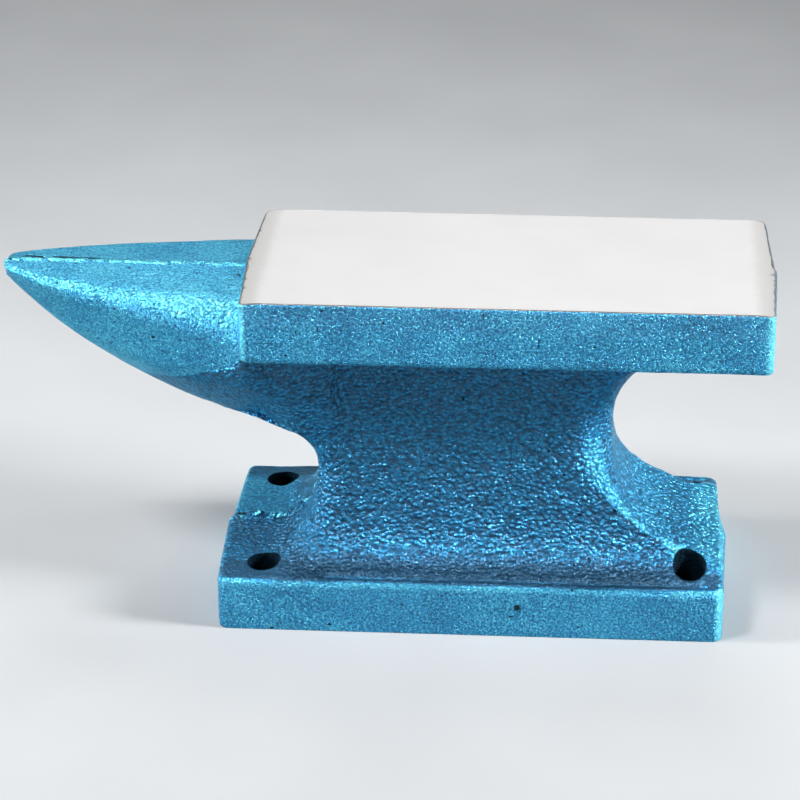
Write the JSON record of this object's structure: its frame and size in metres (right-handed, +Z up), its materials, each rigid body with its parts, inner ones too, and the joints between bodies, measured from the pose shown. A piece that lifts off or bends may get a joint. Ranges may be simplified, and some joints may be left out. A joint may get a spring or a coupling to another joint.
{
  "type": "bench anvil",
  "caption": "Bench anvil with a pointed horn, a flat ground steel face, an overhanging heel and a drilled bolt-down base.",
  "frame": {"origin": "centre of the base's rectangle of bolt holes, on the underside that rests on the bench", "axes": "+X towards the heel and -X towards the horn's tip, +Y across the anvil towards its back, +Z up, normal to the face"},
  "size_m": [0.2317, 0.0742, 0.1082],
  "materials": {
    "painted_casting": "metallic blue hammered paint over a sand-cast surface",
    "ground_steel": "ground bright, faint grinding lines along the face",
    "stud_steel": "plain mild steel, hidden inside"
  },
  "bodies": {
    "anvil": {"anvil_body": "painted_casting", "face_plate": "ground_steel", "anchor_studs": "stud_steel"}
  },
  "joints": []
}
